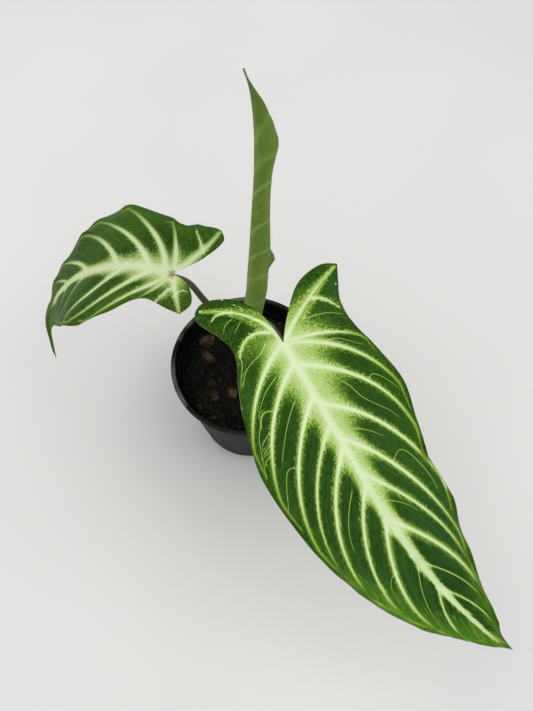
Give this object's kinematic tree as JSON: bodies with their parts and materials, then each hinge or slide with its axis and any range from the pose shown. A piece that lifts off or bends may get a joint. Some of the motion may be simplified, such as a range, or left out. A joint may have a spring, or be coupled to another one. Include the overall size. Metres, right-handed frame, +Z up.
{
  "type": "potted magnificum caladium",
  "caption": "Young aroid in a round nursery pot: arrow-shaped leaves with pale veins arch out on slim stalks beside an upright leaf that is still rolled.",
  "frame": {"origin": "centre of the pot's flat base, on the surface it stands on", "axes": "+Z up along the pot's axis and the rolled leaf; -Y to the front, with the large leaf reaching to the front right (-Y and +X) and the smaller open leaf to the left (-X)"},
  "size_m": [0.301, 0.2572, 0.3392],
  "materials": {
    "pot_plastic": "moulded black polypropylene, half gloss, lightly scuffed at the rim",
    "potting_mix": "damp dark mix of peat and bark pieces",
    "rhizome": "dull brown corky skin",
    "leaf": "dark green half-gloss blade with feathered cream veins, paler below",
    "new_leaf": "soft mid green underside with faint pale veins",
    "stalk": "smooth olive brown skin, half gloss",
    "new_stalk": "smooth pale olive green skin"
  },
  "bodies": {
    "root": {"pot": "pot_plastic", "potting_mix": "potting_mix", "rhizome": "rhizome", "leaf_front_blade": "leaf", "leaf_left_blade": "leaf", "leaf_new_blade": "new_leaf", "leaf_front_petiole": "stalk", "leaf_left_petiole": "stalk", "leaf_new_petiole": "new_stalk"}
  },
  "joints": []
}
